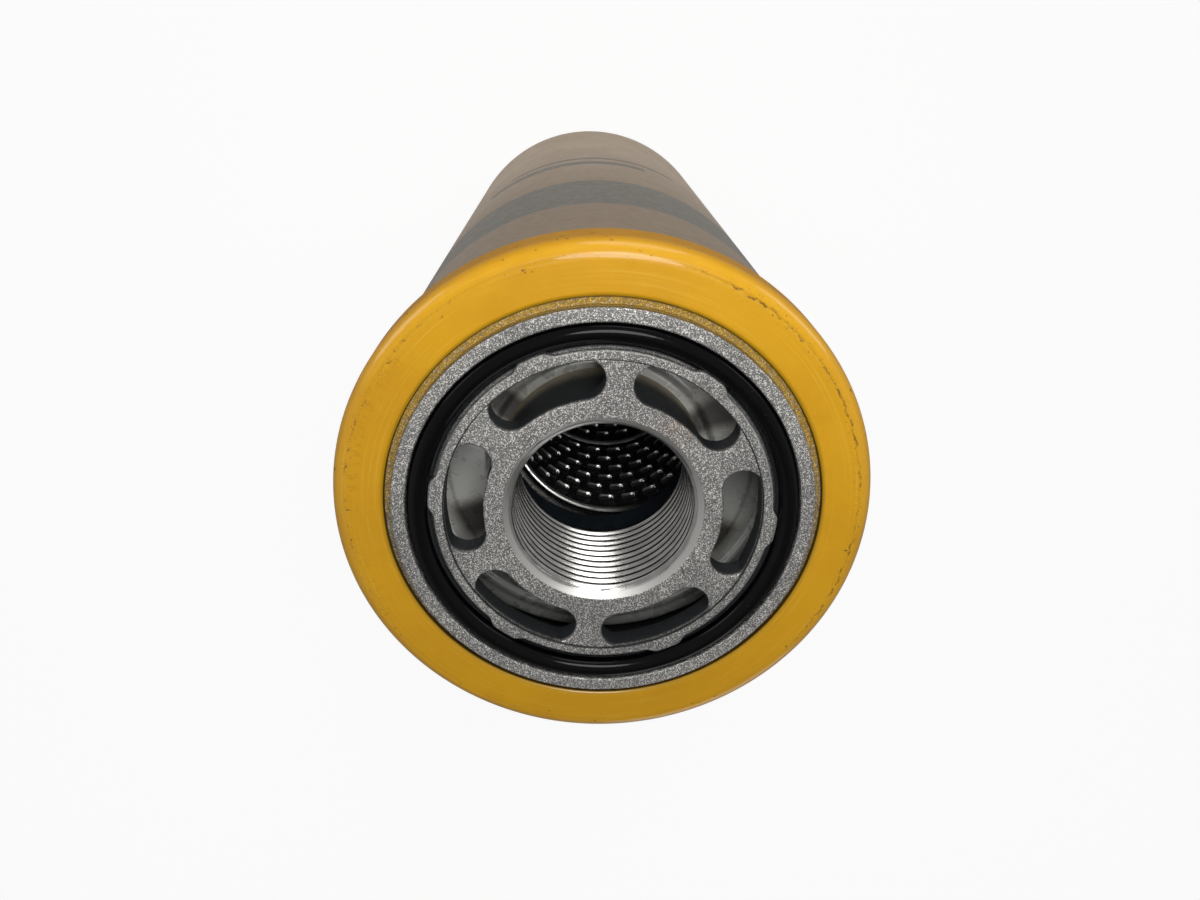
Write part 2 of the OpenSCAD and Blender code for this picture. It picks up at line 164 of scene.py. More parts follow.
def make(name, verts, faces, body, slot, replaced=(), smooth=True, sharp=None):
    """A piece from points in millimetres; points that coincide are joined and faces left empty by it dropped."""
    mesh = bpy.data.meshes.new(name)
    pts = np.asarray(verts, dtype=float)
    first = {}
    weld = [first.setdefault(p, i) for i, p in enumerate(map(tuple, np.round(pts, 5).tolist()))]
    rings = [[weld[i] for k, i in enumerate(f) if weld[i] != weld[f[k - 1]]] for f in faces]
    rings = [r for r in rings if len(r) > 2]
    used = sorted({i for r in rings for i in r})
    place = {i: k for k, i in enumerate(used)}
    mesh.from_pydata([tuple(v) for v in pts[used] * MM], [], [[place[i] for i in r] for r in rings])
    mesh.validate()
    mesh.update()
    obj = bpy.data.objects.new(name, mesh)
    scene.collection.objects.link(obj)
    if smooth:
        mesh.shade_smooth()
        if sharp is not None:
            mesh.set_sharp_from_angle(angle=math.radians(sharp))
    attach(obj, body)
    if replaced:
        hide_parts(*replaced)
    return obj


def grid_faces(nu, nv, wrap_u=True, wrap_v=False, flip=False, start=0):
    """Quads of a grid with nu columns and nv rows, indexed column by column."""
    faces = []
    for i in range(nu if wrap_u else nu - 1):
        a, b = start + i * nv, start + ((i + 1) % nu) * nv
        for j in range(nv if wrap_v else nv - 1):
            k = (j + 1) % nv
            f = (a + j, b + j, b + k, a + k)
            faces.append(f[::-1] if flip else f)
    return faces


def spiral_faces(n, rows, lead_rows):
    """Quads of a spiral with n columns; its last column meets the first one lead_rows further on."""
    faces = []
    for i in range(n):
        a, b = i * rows, ((i + 1) % n) * rows
        shift = lead_rows if i == n - 1 else 0
        faces += [(a + j, a + j + 1, b + j + 1 - shift, b + j - shift) for j in range(shift, rows - 1)]
    return faces


def around(columns):
    """Vertices of paths (r, z) that stand side by side round the axis."""
    p = np.array(columns)
    th = np.linspace(0, 2 * math.pi, len(p), endpoint=False)[:, None]
    return np.stack([p[..., 0] * np.cos(th), p[..., 0] * np.sin(th), p[..., 1]], axis=-1).reshape(-1, 3)


def revolve(path, n):
    return around([path] * n)


def lathe(name, path, body, n, **kw):
    return make(name, revolve(path, n), grid_faces(n, len(path), wrap_v=True), body, **kw)


# ------------------------------------------------------------ material helpers
MIX_FAC, MIX_A, MIX_B, MIX_RESULT = 0, 6, 7, 2  # the colour sockets of a Mix node


def feed(nt, v, sock):
    """Links a value to a socket, or sets the socket to a number or a colour."""
    if isinstance(v, V):
        nt.links.new(v.s, sock)
    else:
        sock.default_value = v


class V:
    """A value in a shader tree; arithmetic on it adds Math nodes."""

    def __init__(self, nt, sock):
        self.nt, self.s = nt, sock

    def op(self, name, *others):
        node = self.nt.nodes.new("ShaderNodeMath")
        node.operation = name
        for i, v in enumerate((self,) + others):
            feed(self.nt, v, node.inputs[i])
        return V(self.nt, node.outputs[0])

    def __add__(self, o):
        return self.op("ADD", o)

    def __sub__(self, o):
        return self.op("SUBTRACT", o)

    def __rsub__(self, o):
        return (self * -1) + o

    def __mul__(self, o):
        return self.op("MULTIPLY", o)

    def ramp(self, lo, hi, a=0.0, b=1.0):
        """Smooth ramp from a at lo to b at hi."""
        node = self.nt.nodes.new("ShaderNodeMapRange")
        node.interpolation_type = "SMOOTHSTEP"
        self.nt.links.new(self.s, node.inputs["Value"])
        if lo > hi:
            lo, hi, a, b = hi, lo, b, a
        node.inputs["From Min"].default_value = lo
        node.inputs["From Max"].default_value = hi
        node.inputs["To Min"].default_value = a
        node.inputs["To Max"].default_value = b
        return V(self.nt, node.outputs["Result"])

    def band(self, lo, hi, soft):
        """1 between lo and hi, 0 outside, with soft edges."""
        return self.ramp(lo - soft, lo + soft) * self.ramp(hi + soft, hi - soft)


def srgb(r, g, b):
    def lin(c):
        c /= 255
        return c / 12.92 if c <= 0.04045 else ((c + 0.055) / 1.055) ** 2.4
    return lin(r), lin(g), lin(b), 1.0


class Mat:
    """A Principled material, with the object's coordinates x, y, z and radius r in millimetres, angle th in degrees."""

    def __init__(self, name, color=(0.5, 0.5, 0.5, 1), rough=0.5, metal=0.0, **fixed):
        self.m = bpy.data.materials.new(name)
        self.m.use_nodes = True
        self.nt = self.m.node_tree
        self.bsdf = self.nt.nodes["Principled BSDF"]
        self.bsdf.inputs["Base Color"].default_value = color
        self.bsdf.inputs["Roughness"].default_value = rough
        self.bsdf.inputs["Metallic"].default_value = metal
        for k, v in fixed.items():
            self.bsdf.inputs[k.replace("_", " ")].default_value = v
        coord = self.nt.nodes.new("ShaderNodeTexCoord")
        self.p = coord.outputs["Object"]
        sep = self.nt.nodes.new("ShaderNodeSeparateXYZ")
        self.nt.links.new(self.p, sep.inputs[0])
        self.x, self.y, self.z = [V(self.nt, sep.outputs[i]) * PER_METRE for i in range(3)]
        self.r = (self.x * self.x + self.y * self.y).op("SQRT")
        self.th = self.y.op("ARCTAN2", self.x) * (180 / math.pi)

    def vec(self, x, y, z):
        node = self.nt.nodes.new("ShaderNodeCombineXYZ")
        for i, v in enumerate((x, y, z)):
            feed(self.nt, v, node.inputs[i])
        return node.outputs[0]

    def noise(self, scale, detail=2.0, rough=0.5, at=None, offset=None):
        """Noise with features of about 1/scale millimetres, or 1/scale of what at is measured in."""
        node = self.nt.nodes.new("ShaderNodeTexNoise")
        node.inputs["Scale"].default_value = scale * (PER_METRE if at is None else 1.0)
        node.inputs["Detail"].default_value = detail
        node.inputs["Roughness"].default_value = rough
        src = self.p if at is None else at
        if offset is not None:
            add = self.nt.nodes.new("ShaderNodeVectorMath")
            add.operation = "ADD"
            self.nt.links.new(src, add.inputs[0])
            add.inputs[1].default_value = offset
            src = add.outputs[0]
        self.nt.links.new(src, node.inputs["Vector"])
        return V(self.nt, node.outputs["Fac"])

    def cells(self, scale, out="Distance"):
        """Cells of about 1/scale millimetres."""
        node = self.nt.nodes.new("ShaderNodeTexVoronoi")
        node.inputs["Scale"].default_value = scale * PER_METRE
        self.nt.links.new(self.p, node.inputs["Vector"])
        return V(self.nt, node.outputs[out])

    def mix(self, fac, a, b):
        node = self.nt.nodes.new("ShaderNodeMix")
        node.data_type = "RGBA"
        for sock, v in ((MIX_FAC, fac), (MIX_A, a), (MIX_B, b)):
            feed(self.nt, v, node.inputs[sock])
        return V(self.nt, node.outputs[MIX_RESULT])

    def scale_color(self, col, k):
        """The colour with its brightness multiplied by k."""
        node = self.nt.nodes.new("ShaderNodeVectorMath")
        node.operation = "SCALE"
        feed(self.nt, col if isinstance(col, V) else col[:3], node.inputs[0])
        self.nt.links.new(k.s, node.inputs["Scale"])
        return V(self.nt, node.outputs[0])

    def set(self, name, v):
        self.nt.links.new(v.s, self.bsdf.inputs[name])

    def bump(self, *layers):
        """Layers of (height value, height in mm, strength)."""
        last = None
        for h, dist, strength in layers:
            node = self.nt.nodes.new("ShaderNodeBump")
            node.inputs["Distance"].default_value = dist * MM
            node.inputs["Strength"].default_value = strength
            self.nt.links.new(h.s, node.inputs["Height"])
            if last is not None:
                self.nt.links.new(last, node.inputs["Normal"])
            last = node.outputs["Normal"]
        self.nt.links.new(last, self.bsdf.inputs["Normal"])

    def on(self, *objs):
        for o in objs:
            o.data.materials.clear()
            o.data.materials.append(self.m)


# ------------------------------------------------------------------- materials
# Places on the can: heights and radii in millimetres, angles round the axis in degrees
LIP_Z = (236.5, 238.6)
ROLL_Z = (235.6, 237.2)
PAINT_JOIN_Z = (228.2, 228.7)
CREASE_R, NEAR_CREASE_R, RUBBED_R = (45.66, 45.99), (44.6, 47.0), (43.6, 46.4)
RIGHT_SIDE, LEFT_SIDE, FAR_LEFT = (-34, 68), (136, 176), (-176, -150)
BAND_Z, BAND_SIDE = (153.5, 189.5), (18, 162)
BAR_1_Z, BAR_1_SIDE = (112.0, 119.0), (72, 128)
BAR_2_Z, BAR_2_SIDE = (103.0, 107.0), (60, 120)

# Colours of the can's paint and of its wear, and of the shade painted on it
YELLOW, YELLOW_DEEP, YELLOW_PALE = srgb(214, 158, 10), srgb(205, 149, 8), srgb(224, 172, 36)
BRUSH_MARK, RUBBED, SCUFF, CHIP = srgb(234, 192, 80), srgb(176, 122, 20), srgb(92, 62, 16), srgb(58, 42, 24)
ROLL_SHADE, EDGE_SHADE, HEM_SHADOW = srgb(142, 92, 6), srgb(150, 120, 20), srgb(26, 20, 10)
BODY, BODY_DEEP, BODY_STREAK = srgb(184, 165, 143), srgb(172, 153, 131), srgb(150, 132, 112)
BODY_RIM_SHADE, PRINT, INSIDE_SHADE = srgb(108, 91, 71), srgb(86, 90, 89), srgb(40, 42, 45)

# Colours of the casting, and of the light, highlight and shade painted on it
CAST, CAST_PALE, CAST_DARK, CAST_EDGE_HIGHLIGHT = srgb(130, 129, 127), srgb(145, 144, 141), srgb(22, 27, 33), srgb(232, 231, 228)
STAIN, SHANK_FOOT_LIGHT, STEP_LINE = srgb(120, 92, 66), srgb(196, 182, 154), srgb(28, 29, 30)
OVERSPRAY, RING_SHADE = srgb(186, 148, 38), srgb(62, 50, 16)
STAIN_X, STAIN_Y = 14.0, 17.5


def yellow_and_body():
    """Can: gloss yellow on the rolled rim and lip, satin warm grey below, with a plain printed band."""
    m = Mat("can_paint", rough=0.4, Coat_Roughness=0.075, Specular_IOR_Level=0.2)
    z, r, th = m.z, m.r, m.th
    mott = m.noise(0.06, 3, 0.6)
    fine = m.noise(1.2, 3, 0.6)
    # yellow paint
    yellow = m.mix(mott.ramp(0.35, 0.7), YELLOW, YELLOW_DEEP)
    yellow = m.mix(fine.ramp(0.55, 0.75) * 0.2, yellow, YELLOW_PALE)
    on_lip = z.ramp(*LIP_Z)
    # circular brush marks on the lip
    polar = m.vec(th * 0.02, r * 2.2, 0.0)
    brushed = m.noise(1.0, 4, 0.7, at=polar).ramp(0.52, 0.74) * on_lip
    yellow = m.mix(brushed * 0.35, yellow, BRUSH_MARK)
    # dark scuffs and rubbed paint along the crease where the flat face meets the roll
    spots = m.noise(1.0, 3, 0.65, at=m.vec(th * 0.85, r * 1.1, z * 0.4))
    dots = m.noise(1.0, 2, 0.6, at=m.vec(th * 2.2, r * 2.6, 3.0))
    right = th.band(*RIGHT_SIDE, 10)
    left = th.band(*LEFT_SIDE, 10) + th.band(*FAR_LEFT, 8) * 0.6
    wander = m.noise(1.0, 2, 0.5, at=m.vec(th * 0.35, 2.0, 5.0)).ramp(0.3, 0.7, -0.3, 0.3)
    crease = (r + wander).band(*CREASE_R, 0.22) * on_lip
    gate = m.noise(1.0, 2, 0.5, at=m.vec(th * 0.13, 0.0, 7.0)).ramp(0.38, 0.56, 0.15, 1.0)
    worn = right * spots.ramp(0.41, 0.55) + left * spots.ramp(0.52, 0.64) * 0.7 + spots.ramp(0.58, 0.66) * 0.8
    scuff = crease * gate * worn
    near = r.band(*NEAR_CREASE_R, 0.7) * on_lip
    specks = near * dots.ramp(0.64, 0.70) * (right * 0.9 + left * 0.7 + 0.15)
    edge = r.band(46.9, 48.6, 0.4) * z.band(231.5, 238.2, 0.6)
    edge_chips = edge * m.noise(0.55, 3, 0.7).ramp(0.64, 0.69)
    lip_chips = near * m.noise(0.5, 3, 0.7, offset=(2.0, 5.0, 1.0)).ramp(0.675, 0.715)
    scuff = (scuff + specks).op("MINIMUM", 1.0)
    chips = (edge_chips + lip_chips).op("MINIMUM", 1.0)
    smears = m.noise(1.0, 3, 0.7, at=m.vec(th * 1.1, r * 0.35, 1.0)).ramp(0.50, 0.66)
    rub = left * r.band(*RUBBED_R, 0.8) * on_lip * smears
    yellow = m.mix(rub * 0.45, yellow, RUBBED)
    yellow = m.mix(scuff * 0.8, yellow, SCUFF)
    yellow = m.mix(chips * 0.9, yellow, CHIP)
    # painted shade round the roll and on the lip's rounded inner edge, and a painted shadow down in its hem
    under = z.ramp(239.0, 235.0) * r.ramp(46.6, 47.8)
    yellow = m.mix(under * 0.6, yellow, ROLL_SHADE)
    inner_edge = r.ramp(LIP_R + 1.0, LIP_R + 0.4) * on_lip
    yellow = m.mix(inner_edge * 0.5, yellow, EDGE_SHADE)
    hem = r.ramp(LIP_R + 0.32, LIP_R + 0.12) * z.ramp(LIP - 0.15, LIP - 0.4)
    yellow = m.mix(hem * 0.92, yellow, HEM_SHADOW)
    # body, with the printed band and bars; shade is painted on it towards the rim and on the inside
    haze = m.noise(0.035, 3, 0.6)
    body = m.mix(haze.ramp(0.3, 0.7), BODY, BODY_DEEP)
    streak = m.noise(1.0, 4, 0.6, at=m.vec(th * 0.05, z * 0.008, 0.0))
    body = m.mix(streak.ramp(0.5, 0.75) * 0.3, body, BODY_STREAK)
    band = z.band(*BAND_Z, 0.35) * th.band(*BAND_SIDE, 1.0)
    bars = z.band(*BAR_1_Z, 0.3) * th.band(*BAR_1_SIDE, 0.6) + z.band(*BAR_2_Z, 0.3) * th.band(*BAR_2_SIDE, 0.6)
    wear = m.noise(0.8, 4, 0.7).ramp(0.40, 0.62, 0.78, 1.0)
    # painted shade: the body darker towards the rim
    body = m.mix(z.ramp(40, 222) * 0.78, body, BODY_RIM_SHADE)
    body = m.mix((band + bars) * wear * 0.8, body, PRINT)
    # painted shade on the can's inside, which shows through the slots
    inside = r.ramp(CAN_R - 0.5, CAN_R - 0.8) * z.ramp(13, 15) * z.ramp(229.5, 229.0)
    body = m.mix(inside * 0.95, body, INSIDE_SHADE)
    # join of the two paints under the rim
    wob = m.noise(0.12, 2) * 0.8
    is_yellow = (z + wob).ramp(*PAINT_JOIN_Z)
    m.set("Base Color", m.mix(is_yellow, body, yellow))
    rough = m.noise(0.5, 3).ramp(0.3, 0.7, 0.30, 0.42) + (scuff + chips) * 0.25
    m.set("Roughness", (z.ramp(*ROLL_Z, 0.2, 0.0) + rough).op("MINIMUM", 1.0))
    m.set("Coat Weight", is_yellow * z.ramp(*ROLL_Z) * 0.3 + (1 - is_yellow) * 0.22)
    roll = m.noise(1.0, 2, 0.5, at=m.vec(th * 0.07, z * 0.12, r * 0.12)) * r.ramp(45.6, 46.4)
    m.bump(
        (m.noise(0.16, 2, 0.4), 0.10, 0.5),
        (roll, 0.45, 0.8),
        (m.noise(1.0, 3, 0.6, at=polar) * on_lip, 0.03, 0.7),
        (m.noise(1.6, 3, 0.6), 0.012, 0.8),
        ((scuff + chips) * -1.0, 0.05, 0.8),
    )
    return m


def casting():
    """Shot-blasted die casting: fine sparkling grain, with yellow overspray on the outer ring's side, and painted
    light, highlight and shade in places.
    """
    m = Mat("cast_aluminium_blasted", rough=0.5, metal=0.85)
    x, y, z, r, th = m.x, m.y, m.z, m.r, m.th
    grain = m.cells(7.0, out="Color")
    grain2 = m.noise(8.6, 2, 0.6)
    patch = m.noise(0.07, 3, 0.6)
    value = grain2.ramp(0.32, 0.68, 0.30, 0.90) + grain.ramp(0.62, 0.78) * 2.0
    base = m.mix(patch.ramp(0.3, 0.7), CAST, CAST_PALE)
    col = m.scale_color(base, value)
    # brown stain beside the port
    stain_at = ((x - STAIN_X) * (x - STAIN_X) + (y - STAIN_Y) * (y - STAIN_Y)).op("SQRT")
    stain = stain_at.ramp(6.5, 0.5) * m.noise(0.4, 3, 0.7).ramp(0.35, 0.65)
    col = m.mix(stain * 0.5, col, STAIN)
    # darker on the slots' walls, the deep surfaces and the groove
    deep = z.ramp(HUB - 0.5, HUB - 1.1) * r.ramp(GROOVE_R + 0.3, GROOVE_R - 0.2)
    col = m.mix(deep * 0.95, col, CAST_DARK)
    # painted light: a pale brownish glow on the shank's foot, just above the end cap
    foot = z.ramp(SHOULDER + 7, SHOULDER + 0.2)
    foot = foot * r.ramp(SPIGOT_R + 0.5, SPIGOT_R + 0.2) * r.ramp(MINOR + 2.0, MINOR + 2.6)
    foot = foot * m.noise(0.5, 3, 0.7).ramp(0.2, 0.6, 0.5, 1.0)
    col = m.mix(foot, col, SHANK_FOOT_LIGHT)
    # dark line at the step's foot, and a painted highlight along the band's edge, stronger on the right
    line = r.band(STEP_R - 0.16, STEP_R + 0.10, 0.06) * z.ramp(HUB - 0.3, HUB - 0.1)
    col = m.mix(line * 0.9, col, STEP_LINE)
    edge = z.ramp(BAND - 0.03, BAND - 0.09) * z.ramp(BAND - 0.46, BAND - 0.32) * r.ramp(BAND_R - 0.7, BAND_R - 0.6)
    edge = edge * r.ramp(BAND_R + 1.2, BAND_R + 1.05) * (th.band(-80, 40, 12) * 0.7 + 0.3)
    col = m.mix(edge * 0.85, col, CAST_EDGE_HIGHLIGHT)
    # overspray
    out = r.ramp(RING_R - 0.16, RING_R - 0.04) * z.ramp(236.5, 237.5)
    spray = (m.noise(2.2, 4, 0.8) + z.ramp(TOP - 0.7, TOP - 0.1) * -0.25).ramp(0.36, 0.52)
    side = th.band(0, 180, 30) * 0.65 + 0.35
    col = m.mix(out * spray * side, col, m.scale_color(OVERSPRAY, value * 0.45 + 0.42))
    # painted shade on the outer ring's side, just below its top
    shade = r.band(RING_R - 0.08, RING_R + 0.05, 0.04) * z.band(TOP - 0.9, TOP - 0.25, 0.1)
    col = m.mix(shade * 0.75, col, RING_SHADE)
    m.set("Base Color", col)
    m.set("Metallic", deep.ramp(0, 1, 0.85, 0.25) - out * spray * side * 0.75)
    m.set("Roughness", grain2.ramp(0.3, 0.7, 0.30, 0.50) + deep * 0.12)
    m.bump(
        (m.noise(6.6, 3, 0.7), 0.11, 1.0),
        (grain, 0.09, 1.0),
    )
    return m


def machined():
    """Cut threads: bright metal with rings along the tool's path."""
    m = Mat("machined_thread", color=srgb(150, 149, 146), rough=0.24, metal=1.0)
    z, r, th = m.z, m.r, m.th
    rings = m.noise(1.0, 3, 0.7, at=m.vec(th * 0.01, z * 5.0, r * 5.0))
    wide = m.noise(1.0, 2, 0.5, at=m.vec(th * 0.03, z * 0.6, 0.0))
    shade = m.noise(0.5, 3, 0.6).ramp(0.3, 0.7, 0.85, 1.05)
    root = r.ramp(PORT_R - 0.35, PORT_R - 0.02)
    col = m.scale_color(m.mix(rings.ramp(0.35, 0.7), srgb(132, 131, 129), srgb(96, 95, 93)), shade)
    # painted shade in the thread's roots, below the mouth
    col = m.mix(root * z.ramp(HUB - 0.2, HUB - 0.9) * 0.55, col, srgb(40, 40, 41))
    mouth = z.ramp(HUB - 0.9, HUB - 0.55)
    m.set("Base Color", m.mix(mouth * 0.8, col, srgb(158, 157, 154)))
    m.set("Roughness", wide.ramp(0.3, 0.7, 0.19, 0.27) + mouth * 0.2)
    m.bump((rings, 0.02, 0.7))
    tangent = m.nt.nodes.new("ShaderNodeTangent")
    tangent.direction_type = "RADIAL"
    tangent.axis = "Z"
    m.nt.links.new(tangent.outputs[0], m.bsdf.inputs["Tangent"])
    m.bsdf.inputs["Anisotropic"].default_value = 0.3
    m.bsdf.inputs["Anisotropic Rotation"].default_value = 0.25
    return m


def rubber(name, col, rough, fleck):
    """Moulded rubber with a few pale flecks of dust."""
    m = Mat(name, color=col, rough=rough, Specular_IOR_Level=0.075)
    a = m.noise(0.25, 3, 0.6)
    dust = m.noise(2.4, 3, 0.7).ramp(0.66, 0.76) * m.noise(0.12, 2).ramp(0.45, 0.7)
    base = m.mix(a.ramp(0.35, 0.7), col, tuple(c * 1.7 for c in col[:3]) + (1,))
    m.set("Base Color", m.mix(dust * fleck, base, srgb(120, 116, 108)))
    m.set("Roughness", m.noise(0.4, 3).ramp(0.3, 0.7, rough * 0.8, rough * 1.4))
    m.bump((m.noise(0.9, 2, 0.5), 0.03, 0.35), (m.noise(3.5, 2, 0.5), 0.01, 0.4))
    return m


def matt_rubber():
    """The sleeve below the thread."""
    m = Mat("grommet_rubber", color=srgb(22, 26, 32), rough=0.6, Specular_IOR_Level=0.15)
    a = m.noise(0.5, 3, 0.6)
    m.set("Base Color", m.mix(a.ramp(0.35, 0.7), srgb(24, 30, 36), srgb(32, 38, 44)))
    m.set("Roughness", m.noise(1.0, 3).ramp(0.3, 0.7, 0.5, 0.7))
    m.bump((m.noise(2.5, 3, 0.6), 0.02, 0.5))
    return m


def plated():
    """Dull zinc plate with brown tints where oil has dried, and painted light and shadow where it shows through the
    slots.
    """
    m = Mat("zinc_plate", rough=0.34, metal=0.35)
    z, r, th = m.z, m.r, m.th
    cloud = m.noise(0.10, 4, 0.6)
    base = m.mix(cloud.ramp(0.3, 0.7), srgb(192, 193, 189), srgb(178, 180, 176))
    roll = m.noise(1.0, 3, 0.6, at=m.vec(m.x * 0.35, m.y * 4.0, 0.0))
    base = m.scale_color(base, roll.ramp(0.3, 0.7, 0.92, 1.05))
    upper = th.band(40, 145, 25)
    brown = m.noise(0.13, 3, 0.6, offset=(0.7, 0.1, 0.3)).ramp(0.42, 0.66) * upper
    base = m.mix(brown * 0.2, base, srgb(132, 106, 76))
    tint = th.band(24, 44, 6) * m.noise(0.2, 3, 0.6).ramp(0.3, 0.6)
    base = m.mix(tint * 0.45, base, srgb(150, 118, 82))
    # painted light: brighter patches on the cap where it shows through the left and upper right slots
    bright = (th.op("ABSOLUTE").band(145, 185, 12) + th.band(22, 78, 8)).op("MINIMUM", 1.0)
    base = m.mix(bright * 0.6, base, srgb(250, 250, 247))
    # painted shade: darker grey-green on the cap under the lower slots
    lower = th.band(-150, -30, 20)
    base = m.mix(lower * 0.35, base, srgb(112, 120, 112))
    # painted shadows of the base plate's webs on the cap, brownish at their soft edges
    web_shadow = ((th + 5.0) * (6 * math.pi / 180)).op("COSINE") + m.noise(0.12, 2, 0.5).ramp(0.3, 0.7, -0.04, 0.04)
    inner = r.ramp(34, 30) * z.ramp(SHOULDER - 12, SHOULDER - 9)
    base = m.mix(web_shadow.ramp(-0.42, -0.70) * inner * 0.35, base, srgb(128, 108, 80))
    base = m.mix(web_shadow.ramp(-0.55, -0.92) * inner * 0.85, base, srgb(38, 38, 38))
    m.set("Base Color", base)
    m.set("Roughness", m.noise(0.3, 3).ramp(0.3, 0.7, 0.24, 0.36))
    m.bump((m.noise(0.5, 2, 0.5), 0.03, 0.3), (m.noise(3.0, 2, 0.5), 0.008, 0.5))
    return m


def gloss_black():
    """Oiled centre tube: dull strip, raised louvres and seam made lighter as a painted highlight, and painted shade
    near the cap, nearly black.
    """
    m = Mat("tube_oiled_steel", color=srgb(90, 90, 92), rough=0.2, metal=0.9)
    a = m.noise(0.4, 3, 0.6)
    # painted highlight: the raised louvres and seam are lighter
    raised = m.r.ramp(TUBE_R - 0.35, TUBE_R - 0.75)
    # painted shade: the tube darker towards the cap
    end = m.z.ramp(196.5, 200.0)
    dull = m.mix(a.ramp(0.35, 0.7), srgb(86, 86, 87), srgb(108, 107, 105))
    m.set("Base Color", m.mix(end * 0.95, m.mix(raised, dull, srgb(200, 199, 196)), srgb(10, 11, 13)))
    m.set("Roughness", m.noise(0.6, 3).ramp(0.3, 0.7, 0.16, 0.28) + raised * 0.12 + end * 0.3)
    m.bump((m.noise(0.5, 2, 0.5), 0.02, 0.3))
    return m


def woven(name, col, scale):
    """Metal cloth, with dark openings of about 1/scale millimetres."""
    m = Mat(name, color=col, rough=0.45, metal=0.8)
    w = m.cells(scale)
    tone = m.mix(m.noise(0.2, 2), col, tuple(c * 0.8 for c in col[:3]) + (1,))
    m.set("Base Color", m.scale_color(tone, w.ramp(0.1, 0.6, 1.0, 0.35)))
    m.bump((w, 0.1, 0.8))
    return m


def plain(name, c1, c2, rough, metal=0.0, grain=1.0, height=0.03):
    """Two close tones with a fine grain."""
    m = Mat(name, rough=rough, metal=metal)
    m.set("Base Color", m.mix(m.noise(grain * 0.15, 3, 0.6).ramp(0.3, 0.7), c1, c2))
    m.set("Roughness", m.noise(grain * 0.4, 3).ramp(0.3, 0.7, rough * 0.85, min(1, rough * 1.2)))
    m.bump((m.noise(grain * 1.5, 3, 0.6), height, 0.6))
    return m


# ---------------------------------------------------------------------- camera
# Fitted to the photograph, which is 1200 pixels wide
SENSOR_MM, FOCAL_PX, PHOTO_PX = 36.0, 958.3, 1200
right = (0.99978, 0.0, 0.02097)
up = (0.00818, 0.92080, -0.38995)
back = (-0.01931, 0.39004, 0.92060)
eye = (-0.00385, 0.07694, 0.39245)
cam_data = bpy.data.cameras.new("camera")
cam_data.sensor_width = SENSOR_MM
cam_data.lens = FOCAL_PX / PHOTO_PX * SENSOR_MM
cam_data.clip_start = 0.01
cam_data.clip_end = 20.0
cam = bpy.data.objects.new("camera", cam_data)
scene.collection.objects.link(cam)
cam.matrix_world = Matrix(list(zip(right, up, back, eye)) + [(0, 0, 0, 1)])
scene.camera = cam


# ------------------------------------------------------------------------- can
AXIS_R = 0.02  # the innermost points stand this far from the axis
shoulder_z = FLANGE - 0.1 - step_run(SHOULDER_STEP, SHOULDER_BEND)
spring_r = SEAT_R + step_run(SEAT_STEP, SEAT_BEND) + SPRING_PLAY + WIRE / 2
dish_r = spring_r - WIRE / 2 - DISH_PLAY - step_run(DISH, DISH_BEND)
can_path = (
    [(r, DISH) for r in (AXIS_R, 8.0, 16.0)]
    + s_step(dish_r, DISH, -DISH, DISH_BEND)
    + arc(CAN_R - CORNER, CORNER, CORNER, -90, 0, 16)
    + [(CAN_R, z) for z in range(20, 220, 40)]
    + s_rise(CAN_R, shoulder_z, SHOULDER_STEP, SHOULDER_BEND)
    + arc(RIM_R - ROLL, LIP - ROLL, ROLL, 0, 90, 14)
)
lip_flat = [(r, LIP) for r in (RIM_R - ROLL - 0.08, 43.5, 42.0, LIP_R + 1.08)]
skin_in = [(max(r, AXIS_R), z) for r, z in beside(can_path + [(LIP_R, LIP)], CAN_WALL)[::-1]]
can_outline = can_path + lip_flat + arc(LIP_R + 1, LIP - 1, 1.0, 90, 180, 6) + skin_in
can_obj = lathe(
    "can_shell", supported(can_outline, 0.3), "housing", n=384, slot="can_steel", replaced=("can",), sharp=35)
yellow_and_body().on(can_obj)

# ------------------------------------------------------------------ base plate
SLOTS = [-6.5 + 60 * k for k in range(6)]
TABS = [-7 + 60 * k for k in range(6)]
TAB_SPREAD = 8.0  # half of a tab's width, in degrees
N = 720  # columns round the plate
SIDE_POINTS = 28  # points in each of a slot's four arcs
MID = (SLOT_IN + SLOT_OUT) / 2 + 0.2
END = 3.5 + 0.2
REACH = math.radians(24.4) - math.asin(END / MID)


def kidney(e, clip):
    """Outline of the slot about +X, moved out by e and cut off at radius clip; the points match for every e."""
    tip_x, tip_y = MID * math.cos(REACH), MID * math.sin(REACH)
    arcs = (
        (0, 0, MID - END - e, -REACH, 2 * REACH),
        (tip_x, tip_y, END + e, REACH + math.pi, -math.pi),
        (0, 0, MID + END + e, REACH, -2 * REACH),
        (tip_x, -tip_y, END + e, -REACH, -math.pi),
    )
    out = []
    for cx, cy, rad, start, sweep in arcs:
        for i in range(SIDE_POINTS):
            a = start + sweep * i / SIDE_POINTS
            px, py = cx + rad * math.cos(a), cy + rad * math.sin(a)
            k = min(1.0, clip / math.hypot(px, py))
            out.append((px * k, py * k))
    return out


def turn(pts, deg):
    c, s = math.cos(math.radians(deg)), math.sin(math.radians(deg))
    return [(c * x - s * y, s * x + c * y) for x, y in pts]


def in_slot(x, y, e, clip):
    r, t = math.hypot(x, y), math.atan2(y, x)
    if r > clip:
        return False
    for d in SLOTS:
        a = (t - math.radians(d) + math.pi) % (2 * math.pi) - math.pi
        b = max(-REACH, min(REACH, a))
        if math.hypot(r * math.cos(a) - MID * math.cos(b), r * math.sin(a) - MID * math.sin(b)) < END + e:
            return True
    return False


